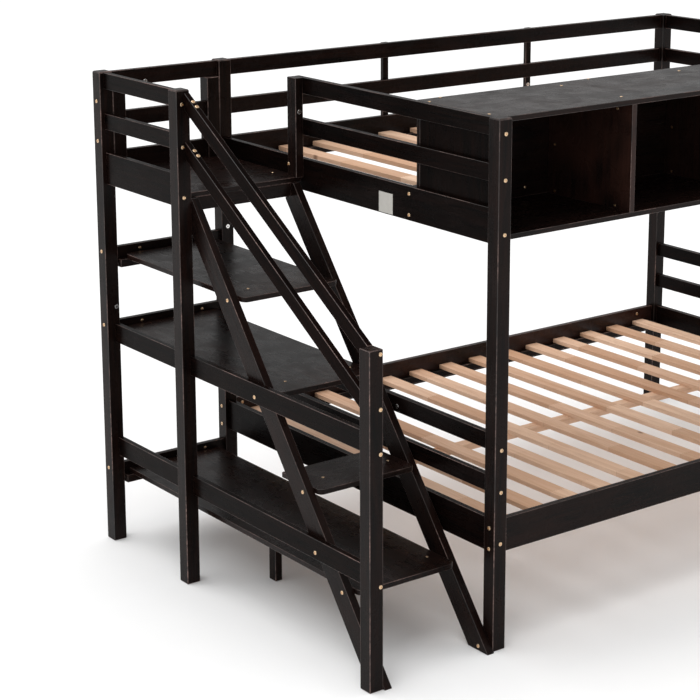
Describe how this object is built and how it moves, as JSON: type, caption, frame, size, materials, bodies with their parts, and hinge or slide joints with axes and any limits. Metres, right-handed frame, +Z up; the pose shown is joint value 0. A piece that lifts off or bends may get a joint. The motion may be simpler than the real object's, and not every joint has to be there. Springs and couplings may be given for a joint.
{
  "type": "bunk bed with ladder",
  "caption": "Dark wooden bunk bed with a wide lower bunk, a narrow upper bunk behind a bookcase, and a shelved staircase with a landing.",
  "frame": {"origin": "centre of the front left post's foot, on the floor", "axes": "+X along the bed to the right, +Y from the front to the back, +Z up; the stair and landing are on the left, at negative X"},
  "size_m": [2.4798, 1.4404, 1.535],
  "materials": {
    "dark_stained_pine": "espresso stain under a semi-gloss lacquer",
    "pale_pine": "bare planed pine",
    "brass_hardware": "satin yellow plating",
    "zinc_nuts": "bright zinc plating",
    "plain_plate": "plain matt"
  },
  "bodies": {
    "root": {"back_balusters": "dark_stained_pine", "back_left_post": "dark_stained_pine", "back_right_post": "dark_stained_pine", "barrel_nuts": "zinc_nuts", "blank_notice_plate": "plain_plate", "bolts": "brass_hardware", "bookcase_back_panel": "dark_stained_pine", "bookcase_bottom_board": "dark_stained_pine", "bookcase_dividers": "dark_stained_pine", "bookcase_left_side": "dark_stained_pine", "bookcase_right_side": "dark_stained_pine", "bookcase_top_board": "dark_stained_pine", "entry_post": "dark_stained_pine", "front_left_post": "dark_stained_pine", "front_right_post": "dark_stained_pine", "landing_back_middle_rail": "dark_stained_pine", "landing_back_rail": "dark_stained_pine", "landing_back_top_rail": "dark_stained_pine", "landing_corner_post": "dark_stained_pine", "landing_deck": "dark_stained_pine", "landing_front_fascia": "dark_stained_pine", "landing_side_guard_rails": "dark_stained_pine", "landing_side_rail": "dark_stained_pine", "landing_stub_posts": "dark_stained_pine", "left_stringer": "dark_stained_pine", "lower_back_bed_rail": "dark_stained_pine", "lower_centre_beam": "pale_pine", "lower_front_bed_rail": "dark_stained_pine", "lower_handrail": "dark_stained_pine", "lower_left_end_bed_rail": "dark_stained_pine", "lower_left_end_guard_rails": "dark_stained_pine", "lower_right_end_bed_rail": "dark_stained_pine", "lower_right_end_guard_rails": "dark_stained_pine", "lower_slat_ledgers": "dark_stained_pine", "lower_slats": "pale_pine", "right_stringer": "dark_stained_pine", "shelf_back_cleats": "dark_stained_pine", "shelf_back_rails": "dark_stained_pine", "shelf_centre_leg": "dark_stained_pine", "stair_back_post": "dark_stained_pine", "stair_newel_post": "dark_stained_pine", "stair_side_rails_front": "dark_stained_pine", "stair_side_rails_rear": "dark_stained_pine", "tread_1_bottom_shelf": "dark_stained_pine", "tread_2": "dark_stained_pine", "tread_3_middle_shelf": "dark_stained_pine", "tread_4": "dark_stained_pine", "upper_back_bed_rail": "dark_stained_pine", "upper_back_middle_rail": "dark_stained_pine", "upper_back_top_rail": "dark_stained_pine", "upper_handrail": "dark_stained_pine", "upper_inner_bed_rail": "dark_stained_pine", "upper_left_end_bed_rail": "dark_stained_pine", "upper_left_end_guard_rails": "dark_stained_pine", "upper_right_end_bed_rail": "dark_stained_pine", "upper_right_end_guard_rails": "dark_stained_pine", "upper_slat_ledgers": "dark_stained_pine", "upper_slats": "pale_pine", "wood_screws": "brass_hardware"}
  },
  "joints": []
}
